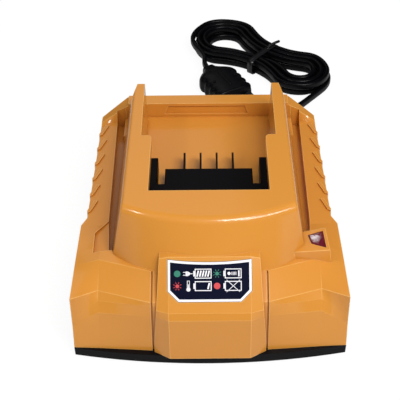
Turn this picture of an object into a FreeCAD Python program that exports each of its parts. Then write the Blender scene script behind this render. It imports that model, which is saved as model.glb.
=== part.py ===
import FreeCAD, Part
import math
import os

# Power tool battery charger, in millimetres.
# X is to the right, Y to the back, Z up. The origin is on the table under the middle of the body.
# The battery slides into the dock from the back, between two rails, onto four upright blades.

os.makedirs("parts", exist_ok=True)

V = FreeCAD.Vector

# Overall sizes of the body
WIDTH = 130.0
LENGTH = 165.0
DOCK_TOP = 67.0
SHELF_TOP = 36.0
SEAM = 6.6
WALL = 2.4

# Plan of the body, right half
HALF = WIDTH / 2
FRONT = -LENGTH / 2
BACK = LENGTH / 2
STEP_FRONT_Y = -20.4
STEP_BACK_Y = -14.7
STEP_FRONT_X = 64.1
WAIST_X = 61.5
BACK_X = 59.8
BACK_CORNER_Y = 70.5
BACK_CHAMFER_X = 45.0
RIM_TOP = 45.0
BACK_LEAN = 2.8

# Wings: each section across X is front foot, three chevron creases, ridge top, shelf
WING_BACK_Y = -20.4
CREASE_X = 52.5
NOSE_SIDE_X = 27.0
WING_OUTER = [(-74.8, SEAM), (-72.5, 18.7), (-72.3, 24.3), (-71.8, SHELF_TOP), (-49.3, SHELF_TOP),
              (-40.0, SHELF_TOP), (WING_BACK_Y, SHELF_TOP)]
WING_CREASE = [(-75.4, SEAM), (-70.9, 26.3), (-67.8, 31.2), (-64.4, 34.5), (-49.3, 40.0),
               (-40.0, 39.4), (WING_BACK_Y, SHELF_TOP)]
WING_NOSE = [(-77.3, SEAM), (-75.4, 28.0), (-74.4, 33.6), (-73.8, 35.6), (-60.7, 43.0),
             (-40.0, 43.0), (WING_BACK_Y, SHELF_TOP)]

# Nose
NOSE_FLAT_X = 19.0
NOSE_EDGE_X = 26.8
NOSE_FRONT = [(FRONT, SEAM), (-80.6, 30.4), (-79.0, 33.8), (-60.8, 52.2)]
NOSE_EDGE = [(-77.9, SEAM), (-76.2, 29.6), (-76.0, 33.4), (-60.8, 50.6)]
NOSE_LEAN = 0.08
NOSE_GROOVE = 1.1
NOSE_SLOT_BACK_Y = -60.5

# Dock: outline at the top, and lower down where its walls have spread
CREST_X = 41.2
CREST_CORNER_Y = -42.1
CREST_MIDDLE_Y = -51.2
RAIL_BACK_X = 40.2
RAIL_TAPER_Y = 47.6
RAIL_END_X = 38.0
RAIL_END_Y = 59.0
DOCK_FOOT = 28.0
FOOT_X = 48.6
FOOT_CORNER_Y = -47.5
FOOT_MIDDLE_Y = -75.5
FOOT_BACK_X = 47.4
FOOT_TAPER_Y = 54.0
FOOT_END_X = 45.0
FOOT_END_Y = 71.0
CREST_ROUND = 4.5
RAIL_ROUND = 2.2

# Pocket that takes the foot of the battery
POCKET_X = 34.0
LIP_X = 28.8
LIP_FRONT_Y = -30.6
LIP_BACK_Y = 13.0
LIP_UNDER = 60.5
LIP_ROUND = 2.5
RIM_FRONT_Y = 71.6

# Groove between the dock and each side shelf
GROOVE_FLOOR = 30.0
SHELF_INNER_X = 50.4
SHELF_INNER_FRONT_X = 49.0

# Grip ribs on the edge of each shelf
RIB_COUNT = 6
RIB_FIRST_Y = -6.5
RIB_PITCH = 12.9

# Lamp housing on the right wing, with its lens
LAMP_TOP = 45.0
LENS_PLAN = [(47.4, -39.2), (54.8, -36.2), (55.4, -47.6), (48.6, -44.8)]
LENS_FLANGE = [(47.0, -38.9), (55.4, -35.9), (55.8, -48.2), (48.0, -45.6)]
LENS_ROOM = [(46.6, -38.6), (56.0, -35.4), (56.2, -48.6), (47.6, -46.0)]
PIPE_X = 51.8
PIPE_Y = -42.0
PIPE_RADIUS = 2.4

# Label on the slope of the nose, measured along the slope
LABEL_X = 19.3
LABEL_FOOT_X = 14.4
LABEL_LOW = 9.1
LABEL_HIGH = 28.5
LABEL_BOW = 1.3
LABEL_THICK = 0.9
LABEL_ZERO = 3.8
LABEL_DEPTH = 0.6

# Terminal block and blades
BLOCK_TOP = 45.0
BLOCK_X = 22.6
BLOCK_BACK_Y = 13.5
STRIP_BACK_Y = 1.2
LEG_INNER_X = 26.5
LEG_BACK_Y = 22.7
BLADE_PITCH = 8.5
BLADE_LENGTH = 16.0
BLADE_THICK = 1.0
BLADE_HEIGHT = 6.4
BLADE_LOW = SHELF_TOP + 1.5
BLADE_ROOT_Y = 5.0
TAIL_BACK_Y = 9.0
TAIL_FOOT = 31.0

# Board and what stands on it
BOARD_BOTTOM = 9.0
BOARD_THICK = 1.6
BOARD_TOP = BOARD_BOTTOM + BOARD_THICK
TRANSFORMER_AT = (-8.0, -20.0)
CHOKE_AT = (30.0, 30.0)
SINK_AT = (-40.0, -20.0)
SINK_HALF = 17.0
SINK_TALL = 16.0
SINK_FINS = 6
SINK_FIN_PITCH = 6.56

# Base
FOOT_HEIGHT = 1.0
FLOOR_THICK = 2.2
BASE_FRONT_Y = -81.2
BASE_CORNER_Y = -75.0
BASE_UNDER = FOOT_HEIGHT
FOOT_PAD_RADIUS = 5.2
FOOT_PADS = [(52.0, 44.0), (52.0, -46.0), (-52.0, 44.0), (-52.0, -46.0)]
COOLING_SLOTS = 9
COOLING_PITCH = 6.0
CASE_SCREWS = [(54.4, 60.0), (56.0, -60.0), (-54.4, 60.0), (-56.0, -60.0)]
BOARD_SCREWS = [(42.0, 52.0), (42.0, -52.0), (-42.0, 52.0), (-42.0, -52.0)]

# Cord: flat twin lead, wide side upright, tied in a hank behind the charger
CORD_X = 46.0
CORD_Z = 12.0
CORD_WIDE = 4.9
CORD_THIN = 3.0
RELIEF_END_Y = 97.0
RELIEF_WIDE = 7.6
CLAMP_Y = 66.0
CLAMP_SCREW_X = 6.0
HANK_X = 36.6
HANK_Y = 178.0
HANK_TURN = math.radians(-40.0)
HANK_STEP = 3.9
LOBE_RIGHT = 10.0
LOBE_LEFT = 11.5
WAIST_GAP = 2.9
OUTER_WAIST = 2.375
WAIST_BEND = 44.0 + OUTER_WAIST * HANK_STEP
LAYER_LOW = 3.1
LAYER_HIGH = LAYER_LOW + CORD_WIDE + 0.55
STATIONS = 8
FIRST_ROUND = 2.5
CLIMB_AT = 22
WIDEN_UNTIL = 29
LAST_STATION = 44
LEAVE_ANGLE = math.radians(250.0)
STRAIGHT_END = 5.2

# Plug: two round pins, moulded grip with waved sides
PLUG_X = 0.4
PLUG_Y = 163.0
PLUG_Z = 7.2
PLUG_HEADING = math.radians(-62.0)
PLUG_HALF = 14.0
PLUG_LENGTH = 36.0
PIN_APART = 18.6
PIN_RADIUS = 2.0
PIN_LENGTH = 19.0
SLEEVE_LENGTH = 10.0


def box(x0, x1, y0, y1, z0, z1):
    return Part.makeBox(x1 - x0, y1 - y0, z1 - z0, V(x0, y0, z0))


def cylinder(x, y, z, radius, height, axis=V(0, 0, 1)):
    return Part.makeCylinder(radius, height, V(x, y, z), axis)


def closed_wire(points):
    return Part.makePolygon([V(*p) for p in points] + [V(*points[0])])


def prism(points, z0, z1):
    wire = closed_wire([(x, y, z0) for x, y in points])
    return Part.Face(wire).extrude(V(0, 0, z1 - z0))


def loft(wires):
    return Part.makeLoft(wires, True, True)


def mirrored(shape):
    return shape.mirror(V(0, 0, 0), V(1, 0, 0))


def both_sides(shape):
    return [shape, mirrored(shape)]


def fuse(shapes):
    joined = shapes[0].multiFuse(shapes[1:]) if len(shapes) > 1 else shapes[0]
    return joined.removeSplitter()


def across_x(sections, floor):
    """Ruled solid through profiles in planes of constant x, closed at the bottom."""
    wires = []
    for x, profile in sections:
        ring = [(x, y, z) for y, z in profile]
        ring.append((x, profile[-1][0], floor))
        if profile[0][1] > floor:
            ring.append((x, profile[0][0], floor))
        wires.append(closed_wire(ring))
    return loft(wires)


def save(name, shape):
    solids = shape.Solids
    for solid in solids:
        if not solid.isValid():
            print("not valid", name)
    print("%-22s %2d solids %10.1f mm3" % (name, len(solids), sum(s.Volume for s in solids)))
    shape = solids[0] if len(solids) == 1 else Part.makeCompound(solids)
    shape.exportStep("parts/%s.step" % name)


# Body envelope

def plan_ring(z, inset):
    lean = BACK_LEAN * (z - SEAM) / (RIM_TOP - SEAM)
    right = [(HALF - inset, FRONT - 10), (HALF - inset, -71.8), (STEP_FRONT_X - inset, STEP_FRONT_Y),
             (WAIST_X - inset, STEP_BACK_Y), (BACK_X - inset, BACK_CORNER_Y - inset / 2),
             (BACK_CHAMFER_X + 1 - inset / 2, BACK - lean - inset)]
    left = [(-x, y) for x, y in reversed(right)]
    return [(x, y, z) for x, y in right + left]


def envelope(z0, z1, inset=0.0):
    return loft([closed_wire(plan_ring(z0, inset)), closed_wire(plan_ring(z1, inset))])


def shift_profile(profile, dy, dz):
    return [(y + dy, max(z - dz, SEAM - 1)) for y, z in profile]


def wing(inset=0.0):
    drop = inset * 1.15
    back = inset * 1.05
    sections = [(18.0, shift_profile(WING_NOSE, back, drop)),
                (NOSE_SIDE_X, shift_profile(WING_NOSE, back, drop)),
                (CREASE_X, shift_profile(WING_CREASE, back, drop)),
                (HALF + 0.5, shift_profile(WING_OUTER, back, drop))]
    return across_x(sections, SEAM if inset == 0 else SEAM - 1)


def nose(inset=0.0):
    depth = 16.0
    front = [(y + inset, z - inset) for y, z in NOSE_FRONT]
    edge = [(y + inset, z - inset) for y, z in NOSE_EDGE]
    front.append((front[-1][0] + depth, front[-1][1]))
    edge.append((edge[-1][0] + depth, edge[-1][1]))
    rings = [(-NOSE_EDGE_X, edge), (-NOSE_FLAT_X, front), (NOSE_FLAT_X, front), (NOSE_EDGE_X, edge)]
    body = across_x(rings, SEAM - 1 if inset else SEAM)
    half_low = NOSE_EDGE_X + 0.2 - inset
    half_high = half_low - NOSE_LEAN * (60 - SEAM)
    trim = loft([closed_wire([(x, y, z) for x, y in [(-h, FRONT - 5), (h, FRONT - 5), (h, -40), (-h, -40)]])
                 for h, z in [(half_low, SEAM - 1), (half_high, 60.0)]])
    return body.common(trim)


def dock_wire(z, corner, middle, taper, end):
    """Outline of the dock: bowed front, long sides, tapered rail ends."""
    (cx, cy), (tx, ty), (ex, ey) = corner, taper, end
    edges = [Part.Arc(V(-cx, cy, z), V(0, middle, z), V(cx, cy, z)).toShape()]
    corners = [(cx, cy), (tx, ty), (ex, ey), (-ex, ey), (-tx, ty), (-cx, cy)]
    for a, b in zip(corners, corners[1:]):
        edges.append(Part.makeLine(V(a[0], a[1], z), V(b[0], b[1], z)))
    return Part.Wire(edges)


def dock_outer():
    foot = dock_wire(DOCK_FOOT, (FOOT_X, FOOT_CORNER_Y), FOOT_MIDDLE_Y, (FOOT_BACK_X, FOOT_TAPER_Y),
                     (FOOT_END_X, FOOT_END_Y))
    top = dock_wire(DOCK_TOP, (CREST_X, CREST_CORNER_Y), CREST_MIDDLE_Y, (RAIL_BACK_X, RAIL_TAPER_Y),
                    (RAIL_END_X, RAIL_END_Y))
    body = loft([foot, top])
    upper = [e for e in body.Edges if e.BoundBox.ZMin > DOCK_TOP - 0.01]
    crest = [e for e in upper if e.BoundBox.YMax < CREST_CORNER_Y + 0.1]
    body = body.makeFillet(CREST_ROUND, crest)
    sides = [e for e in body.Edges if e.BoundBox.ZMin > DOCK_TOP - 0.01 and e.BoundBox.YLength > 60]
    return body.makeFillet(RAIL_ROUND, sides)


def dock_cavity():
    """Room under the deck, the front face and the rails."""
    foot = dock_wire(DOCK_FOOT - 2, (FOOT_X - 3.2, FOOT_CORNER_Y + 3), FOOT_MIDDLE_Y + 4.0,
                     (FOOT_X - 3.3, -40.0), (FOOT_X - 3.4, LIP_FRONT_Y - WALL))
    top = dock_wire(DOCK_TOP - WALL, (CREST_X - 3.4, CREST_CORNER_Y + 2.4), CREST_MIDDLE_Y + 4.2,
                    (CREST_X - 3.4, -38.0), (CREST_X - 3.4, LIP_FRONT_Y - WALL))
    rail_foot = [(POCKET_X + WALL, LIP_FRONT_Y - 4), (FOOT_X - 3.2, LIP_FRONT_Y - 4),
                 (FOOT_BACK_X - 3.2, FOOT_TAPER_Y - 6), (FOOT_END_X - 4.6, FOOT_END_Y - 10),
                 (POCKET_X + WALL, FOOT_END_Y - 10)]
    rail_top = [(POCKET_X + WALL, LIP_FRONT_Y - 4), (CREST_X - 2.6, LIP_FRONT_Y - 4),
                (RAIL_BACK_X - 2.4, RAIL_TAPER_Y), (POCKET_X + WALL + 0.6, RAIL_END_Y - 6),
                (POCKET_X + WALL, RAIL_END_Y - 6)]
    rail = loft([closed_wire([(x, y, DOCK_FOOT - 2) for x, y in rail_foot]),
                 closed_wire([(x, y, DOCK_TOP - 3.4) for x, y in rail_top])])
    return [loft([foot, top])] + both_sides(rail)


def pocket():
    """Slot for the battery foot: wide under the lips, narrow between them, open at the back."""
    high = DOCK_TOP + 2
    below = box(-POCKET_X, POCKET_X, LIP_FRONT_Y, RIM_FRONT_Y, SHELF_TOP, LIP_UNDER)
    between = box(-LIP_X, LIP_X, LIP_FRONT_Y, RIM_FRONT_Y, LIP_UNDER - 1, high)
    behind = box(-POCKET_X, POCKET_X, LIP_BACK_Y, RIM_FRONT_Y, LIP_UNDER - 1, high)
    over_rim = box(-POCKET_X, POCKET_X, RIM_FRONT_Y - 1, BACK + 5, RIM_TOP, high)
    x, y = LIP_X + LIP_ROUND, LIP_BACK_Y - LIP_ROUND
    corner = box(LIP_X - 0.1, x, y, LIP_BACK_Y + 0.1, LIP_UNDER - 1, high)
    corner = corner.cut(cylinder(x, y, LIP_UNDER - 2, LIP_ROUND, 20))
    return fuse([below, between, behind, over_rim] + both_sides(corner))


def rear_rim():
    """Low wall behind the pocket, with a fall to each back corner."""
    wall = box(-BACK_CHAMFER_X, BACK_CHAMFER_X, RIM_FRONT_Y, BACK + 1, SHELF_TOP - 3, RIM_TOP)
    inner = [(RIM_FRONT_Y, SHELF_TOP), (RIM_FRONT_Y + 0.6, RIM_TOP), (BACK + 1, RIM_TOP),
             (BACK + 1, SHELF_TOP)]
    corner = [(61.0, SHELF_TOP), (65.0, SHELF_TOP + 0.4), (BACK + 1, SHELF_TOP + 0.4),
              (BACK + 1, SHELF_TOP)]
    fall = across_x([(BACK_CHAMFER_X - 2, inner), (BACK_X + 1, corner)], SHELF_TOP - 4)
    recess_low = [(-24.5, 38.0), (22.5, 38.0), (20.5, 43.2), (-22.5, 43.2)]
    face = Part.Face(closed_wire([(x, RIM_FRONT_Y - 1, z) for x, z in recess_low]))
    return fuse([wall] + both_sides(fall)), face.extrude(V(0, 1.8, 0))


def grip_ribs():
    """Slanted ribs along the outer edge of the right shelf."""
    ribs = []
    for i in range(RIB_COUNT):
        y = RIB_FIRST_Y + i * RIB_PITCH
        edge = WAIST_X - (y - STEP_BACK_Y) * (WAIST_X - BACK_X) / (BACK_CORNER_Y - STEP_BACK_Y)
        low = [(edge - 4.9, y + 5.2), (edge - 1.9, y + 5.8), (edge + 1.2, y - 3.4), (edge + 1.0, y - 5.4),
               (edge - 1.5, y - 4.0)]
        high = [(edge - 4.3, y + 4.4), (edge - 2.5, y + 4.8), (edge + 0.5, y - 3.6), (edge + 0.1, y - 4.8),
                (edge - 1.3, y - 3.8)]
        lower = closed_wire([(x, yy, SHELF_TOP - 11.0) for x, yy in low])
        upper = closed_wire([(x, yy, SHELF_TOP + 0.9) for x, yy in high])
        ribs.append(loft([lower, upper]))
    return ribs


def lamp_housing():
    """Raised wedge on the right wing, with a window for the lamp lens."""
    foot = [(40.0, -52.4), (58.6, -51.4), (57.6, -33.6), (40.0, -36.6)]
    top = [(40.0, -50.6), (57.2, -49.3), (56.2, -33.6), (40.0, -37.6)]
    return loft([closed_wire([(x, y, SHELF_TOP - 2) for x, y in foot]),
                 closed_wire([(x, y, LAMP_TOP) for x, y in top])])


def left_panel():
    """Shallow panel on the left wing, in the place of the lamp housing."""
    outline = [(-46.0, -17.6), (-50.6, -17.6), (-56.5, -26.7), (-56.1, -43.0), (-46.0, -43.0)]
    return prism(outline, SHELF_TOP - 0.8, SHELF_TOP + 8)


def groove_cut():
    """Groove between the dock and each shelf, narrow at both ends."""
    plan = [(40.0, 50.0), (47.0, FOOT_TAPER_Y), (46.6, 70.8), (SHELF_INNER_X + 0.8, 70.8),
            (SHELF_INNER_X, -17.6), (SHELF_INNER_FRONT_X, -38.0), (46.0, -45.0), (40.0, -45.0)]
    return both_sides(prism(plan, GROOVE_FLOOR, SHELF_TOP + 8))


def nose_groove():
    """Narrow parting groove along each side of the nose."""
    slot = box(NOSE_SIDE_X - 0.5, NOSE_SIDE_X + 0.35, FRONT, NOSE_SLOT_BACK_Y, SEAM - 1, 48.0)
    deep = shift_profile(WING_NOSE, NOSE_GROOVE, NOSE_GROOVE)
    keep = across_x([(NOSE_SIDE_X - 2, deep), (NOSE_SIDE_X + 2, deep)], SEAM - 1)
    return both_sides(slot.cut(keep))


def cover_cavity():
    plan_room = envelope(SEAM - 1, SHELF_TOP - WALL - 0.1, WALL)
    ahead = box(-HALF, HALF, FRONT - 12, -52.0, 0, DOCK_TOP)
    room = plan_room.cut(ahead)
    bars = both_sides(box(SHELF_INNER_X - 6.6, SHELF_INNER_X + WALL + 1, -48, 74, GROOVE_FLOOR - WALL, 60))
    room = room.cut(fuse(bars))
    wings = [w.common(envelope(SEAM - 1, 60.0, WALL)) for w in both_sides(wing(WALL))]
    limit = box(-HALF, HALF, FRONT, -50.0, 0, 60)
    wings = [w.common(limit) for w in wings]
    under_rim = box(-40, 40, RIM_FRONT_Y + 2.2, BACK - BACK_LEAN - 2.0, SHELF_TOP - 4, RIM_TOP - WALL)
    return [room] + wings + [nose(WALL), under_rim] + dock_cavity()


def cover_posts():
    posts = []
    for x, y in CASE_SCREWS:
        posts.append(cylinder(x, y, SEAM + 3.2, 2.9, SHELF_TOP - WALL - SEAM - 2.8))
    return posts


def exit_hole():
    """Square hole that the cord's sleeve fills, through the back wall and the tray's lip."""
    half = RELIEF_WIDE / 2 + 0.15
    return box(CORD_X - half, CORD_X + half, BACK - 9, BACK + 8, CORD_Z - half, CORD_Z + half)


def top_cover():
    shelf = envelope(SEAM, SHELF_TOP).cut(box(-80, 80, FRONT - 15, WING_BACK_Y - 1, 0, 80))
    skin = envelope(SEAM, 70.0)
    wings = [w.common(skin) for w in both_sides(wing())]
    middle = across_x([(-20.0, WING_NOSE), (20.0, WING_NOSE)], SEAM)
    rim, recess = rear_rim()
    outer = fuse([shelf, middle] + wings + [rim.common(skin)])
    outer = outer.cut(fuse(groove_cut()))
    outer = outer.cut(left_panel())
    outer = fuse([outer, dock_outer(), nose()])
    outer = outer.cut(fuse(nose_groove()))
    ribs = grip_ribs()
    outer = fuse([outer, lamp_housing()] + ribs + [mirrored(r) for r in ribs])
    outer = outer.cut(pocket())
    outer = outer.cut(recess)
    window = prism(LENS_PLAN, SHELF_TOP - 8, LAMP_TOP + 5)
    label_seat = label_plate(0.25, LABEL_DEPTH)
    shell = outer.cut(Part.makeCompound(cover_cavity()))
    shell = fuse([shell] + cover_posts())
    lamp_room = prism(LENS_ROOM, 26.0, LAMP_TOP - WALL)
    shell = shell.cut(Part.makeCompound([window, lamp_room, label_seat]))
    slots = [box(x - 1.1, x + 1.1, 4.0, BLOCK_BACK_Y - 3, SHELF_TOP - 5, SHELF_TOP + 1)
             for x in blade_places()]
    pilots = [cylinder(x, y, SEAM, 1.25, 16.0) for x, y in CASE_SCREWS]
    shell = shell.cut(Part.makeCompound(slots + pilots + [exit_hole()]))
    return shell.removeSplitter()


# Label on the slope of the nose

def label_plate(grow, depth):
    """Plate in the nose slope: cut lower corners and a bowed-in top edge."""
    (y0, z0), (y1, z1) = NOSE_FRONT[2], NOSE_FRONT[3]
    run = math.hypot(y1 - y0, z1 - z0)
    along = V(0, (y1 - y0) / run, (z1 - z0) / run)
    normal = V(0, -(z1 - z0) / run, (y1 - y0) / run)

    def at(x, s):
        return V(x, y0, z0) + along * (s - LABEL_ZERO) - normal * depth

    low, high = LABEL_LOW - grow, LABEL_HIGH + grow
    half, foot = LABEL_X + grow, LABEL_FOOT_X + grow * 0.5
    corner = low + (half - foot)
    pts = [at(-half, high), at(-half, corner), at(-foot, low), at(foot, low), at(half, corner),
           at(half, high)]
    edges = [Part.makeLine(a, b) for a, b in zip(pts, pts[1:])]
    edges.append(Part.Arc(pts[-1], at(0, high - LABEL_BOW), pts[0]).toShape())
    return Part.Face(Part.Wire(edges)).extrude(normal * (LABEL_THICK if grow == 0 else 3.0))


# Lamp lens with the light pipe under it

def led_lens():
    head = prism(LENS_PLAN, LAMP_TOP - WALL - 1.0, LAMP_TOP + 0.4)
    flange = prism(LENS_FLANGE, LAMP_TOP - WALL - 1.4, LAMP_TOP - WALL)
    pipe = cylinder(PIPE_X, PIPE_Y, BOARD_TOP + 3.6, PIPE_RADIUS, LAMP_TOP - WALL - BOARD_TOP - 4.4)
    return fuse([head, flange, pipe])


# Terminal block and blades

def blade_places():
    return [(i - 1.5) * BLADE_PITCH for i in range(4)]


def terminal_block():
    """Block across the front of the pocket, with slots for the blades and a guide leg each side."""
    floor = SHELF_TOP
    outer = POCKET_X - 0.3
    strip = box(-outer, outer, LIP_FRONT_Y + 0.2, STRIP_BACK_Y, floor, BLOCK_TOP)
    middle = box(-BLOCK_X, BLOCK_X, STRIP_BACK_Y - 1, BLOCK_BACK_Y, floor, BLOCK_TOP)
    legs = both_sides(box(LEG_INNER_X, outer, STRIP_BACK_Y - 1, LEG_BACK_Y, floor, BLOCK_TOP))
    block = fuse([strip, middle] + legs)
    edges = [e for e in block.Edges if e.BoundBox.ZMin > BLOCK_TOP - 0.01]
    block = block.makeChamfer(0.5, edges)
    slots = []
    for x in blade_places():
        x0, x1 = x - BLADE_THICK / 2, x + BLADE_THICK / 2
        slots.append(box(x0, x1, BLADE_ROOT_Y, BLOCK_BACK_Y + 1, BLADE_LOW, BLADE_LOW + BLADE_HEIGHT))
        slots.append(box(x0, x1, BLADE_ROOT_Y, TAIL_BACK_Y, floor - 1, BLADE_LOW + 0.5))
    return block.cut(Part.makeCompound(slots))


def contact_blade(x):
    """Upright blade with a pointed tip and a tail that runs down through the block."""
    low = BLADE_LOW
    high = low + BLADE_HEIGHT
    tip = BLOCK_BACK_Y + BLADE_LENGTH
    side = [(BLADE_ROOT_Y, high), (BLADE_ROOT_Y, TAIL_FOOT), (TAIL_BACK_Y, TAIL_FOOT), (TAIL_BACK_Y, low),
            (tip - 1.6, low), (tip, low + 1.6), (tip, high - 1.6), (tip - 1.6, high)]
    face = Part.Face(closed_wire([(x - BLADE_THICK / 2, y, z) for y, z in side]))
    return face.extrude(V(BLADE_THICK, 0, 0))


# Base tray

def base_wire(z, inset):
    """Outline of the base: bowed front, stepped sides, chamfered back corners."""
    ring = plan_ring(SEAM, inset)
    half = len(ring) // 2
    right = [(HALF - inset, BASE_CORNER_Y + inset)] + [(x, y) for x, y, _ in ring[2:half]]
    left = [(-x, y) for x, y in reversed(right)]
    points = [V(x, y, z) for x, y in right + left]
    edges = [Part.makeLine(a, b) for a, b in zip(points, points[1:])]
    edges.append(Part.Arc(points[-1], V(0, BASE_FRONT_Y + inset, z), points[0]).toShape())
    return Part.Wire(edges)


def base_tray():
    outer = loft([base_wire(BASE_UNDER, 0.5), base_wire(BASE_UNDER + 0.6, 0.1), base_wire(SEAM, 0.0)])
    inner = loft([base_wire(BASE_UNDER + FLOOR_THICK, WALL + 0.6), base_wire(SEAM + 4, WALL + 0.6)])
    lip = loft([base_wire(SEAM - 0.5, WALL + 0.2), base_wire(SEAM + 2.0, WALL + 0.3)])
    front = box(-HALF, HALF, FRONT - 5, -66.0, SEAM, 20)
    tray = fuse([outer, lip.cut(front)]).cut(inner)
    solids = [tray]
    holes = []
    for x, y in CASE_SCREWS:
        solids.append(cylinder(x, y, BASE_UNDER + 0.5, 3.1, SEAM + 3.0 - BASE_UNDER - 0.5))
        holes.append(cylinder(x, y, 0, 2.4, 4.4))
        holes.append(cylinder(x, y, 0, 1.7, 20))
    for x, y in BOARD_SCREWS:
        solids.append(cylinder(x, y, BASE_UNDER + 0.5, 3.2, BOARD_BOTTOM - BASE_UNDER - 0.5))
        holes.append(cylinder(x, y, BASE_UNDER + 1.4, 1.0, 20))
    for x, y in FOOT_PADS:
        holes.append(cylinder(x, y, 0, FOOT_PAD_RADIUS, BASE_UNDER + 0.9))
    for i in range(COOLING_SLOTS):
        x = (i - (COOLING_SLOTS - 1) / 2) * COOLING_PITCH
        holes.append(box(x - 1.1, x + 1.1, -14.0, 14.0, 0, 6))
    solids.append(box(CORD_X - 9, CORD_X + 9, 63.0, 69.0, BASE_UNDER + 1, CORD_Z - 3.1))
    for side in (-1, 1):
        holes.append(cylinder(CORD_X + side * CLAMP_SCREW_X, CLAMP_Y, BASE_UNDER + 1.5, 1.0, 20))
    tray = fuse(solids)
    return tray.cut(Part.makeCompound(holes + [exit_hole()]))


def rubber_feet():
    feet = []
    for x, y in FOOT_PADS:
        foot = cylinder(x, y, 0, FOOT_PAD_RADIUS, BASE_UNDER + 0.9)
        low = [e for e in foot.Edges if e.BoundBox.ZMax < 0.01]
        feet.append(foot.makeChamfer(0.4, low))
    return Part.makeCompound(feet)


def screw(x, y, z, head, shank, length, up=1):
    """Pan head and shank, the shank pointing up or down from the head's seat."""
    axis = V(0, 0, up)
    cap = cylinder(x, y, z, head, 1.7, axis * -1)
    stem = cylinder(x, y, z - 0.2 * up, shank, length + 0.2, axis)
    recess = Part.makeBox(head, 0.7, 0.9, V(x - head / 2, y - 0.35, z - (1.7 if up > 0 else -0.8)))
    return fuse([cap, stem]).cut(recess)


def case_screws():
    return Part.makeCompound([screw(x, y, 4.4, 2.2, 1.25, 17.0) for x, y in CASE_SCREWS])


def board_screws():
    return Part.makeCompound([screw(x, y, BOARD_TOP, 2.2, 1.0, 6.0, -1) for x, y in BOARD_SCREWS])


# Electronics

def circuit_board():
    plan = [(-47.5, -62.0), (47.5, -62.0), (47.5, 57.0), (-47.5, 57.0)]
    board = prism(plan, BOARD_BOTTOM, BOARD_TOP)
    tab = box(46.0, 55.0, -50.0, -36.0, BOARD_BOTTOM, BOARD_TOP)
    holes = [cylinder(x, y, 0, 1.2, 20) for x, y in BOARD_SCREWS]
    return fuse([board, tab]).cut(Part.makeCompound(holes))


def transformer():
    """Ferrite E-core round a wound bobbin."""
    x, y = TRANSFORMER_AT
    base = BOARD_TOP
    wide, deep, tall = 28.0, 22.0, 21.0
    core = box(x - wide / 2, x + wide / 2, y - 5.5, y + 5.5, base + 1.0, base + tall)
    window = box(x - wide / 2 + 4.5, x + wide / 2 - 4.5, y - 6, y + 6, base + 5.0, base + tall - 4.0)
    leg = box(x - 4.5, x + 4.5, y - 5.5, y + 5.5, base + 4.0, base + tall - 3.0)
    core = fuse([core.cut(window), leg])
    coil = box(x - 9.3, x + 9.3, y - deep / 2, y + deep / 2, base + 5.4, base + tall - 4.4)
    upright = [e for e in coil.Edges if abs(e.BoundBox.ZLength - coil.BoundBox.ZLength) < 0.01]
    coil = coil.makeFillet(4.0, upright)
    hole = box(x - 4.7, x + 4.7, y - 5.7, y + 5.7, 0, 60)
    pins = []
    for side in (-1, 1):
        for i in range(4):
            px = x - 7.5 + i * 5.0
            py = y + side * 8.4
            pins.append(box(px - 0.35, px + 0.35, py - 0.35, py + 0.35, base, base + 6))
    return core, fuse([coil.cut(hole)] + pins)


def can(x, y, radius, height):
    """Electrolytic can with a rolled groove near its foot, standing on the board."""
    base = BOARD_TOP
    body = cylinder(x, y, base, radius, height)
    groove = cylinder(x, y, base + 2.0, radius + 1, 0.9).cut(cylinder(x, y, base + 2.0, radius - 0.5, 0.9))
    return body.cut(groove)


def lying_can(x, y, radius, length):
    """Electrolytic can that lies on the board, its two leads bent down in front."""
    middle = BOARD_TOP + radius + 0.1
    ahead = V(0, 1, 0)
    body = cylinder(x, y, middle, radius, length, ahead)
    ring = cylinder(x, y + 3.0, middle, radius + 1, 1.2, ahead)
    ring = ring.cut(cylinder(x, y + 3.0, middle, radius - 0.6, 1.2, ahead))
    leads = []
    for lead_x in (x - 3, x + 3):
        leads.append(box(lead_x - 0.4, lead_x + 0.4, y - 2.5, y + 0.5, BOARD_TOP, BOARD_TOP + 1.0 + radius))
    return fuse([body.cut(ring)] + leads)


def choke():
    """Ring core standing on edge, with a winding on each half."""
    x, y = CHOKE_AT
    middle = BOARD_TOP + 9.6
    ahead = V(1, 0, 0)

    def ring(outer, inner, wide):
        tube = cylinder(x - wide / 2, y, middle, outer, wide, ahead)
        return tube.cut(cylinder(x - wide / 2 - 1, y, middle, inner, wide + 2, ahead))

    core = ring(8.4, 4.6, 5.0)
    gap = box(x - 6, x + 6, y - 1.6, y + 1.6, 0, 60)
    winding = ring(9.3, 3.7, 6.8).cut(gap).cut(ring(8.4, 4.6, 5.0))
    return core, winding


def heat_sink():
    """Upright plate with fins on its outer side."""
    x, y = SINK_AT
    top = BOARD_TOP + SINK_TALL
    plate = box(x - 1.2, x + 1.2, y - SINK_HALF, y + SINK_HALF, BOARD_TOP, top)
    fins = []
    for i in range(SINK_FINS):
        fin_y = y - SINK_HALF + i * SINK_FIN_PITCH
        fins.append(box(x - 6.0, x + 1.2, fin_y, fin_y + 1.2, BOARD_TOP + 4, top))
    return fuse([plate] + fins)


def power_case(y):
    """Transistor case against the inner side of the heat sink, with three legs."""
    x, base = SINK_AT[0] + 1.2, BOARD_TOP
    body = box(x, x + 4.4, y - 5, y + 5, base + 4, base + 15)
    legs = []
    for leg_y in (y - 2.54, y, y + 2.54):
        legs.append(box(x + 1.8, x + 2.6, leg_y - 0.4, leg_y + 0.4, base, base + 4.5))
    return fuse([body] + legs)


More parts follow.
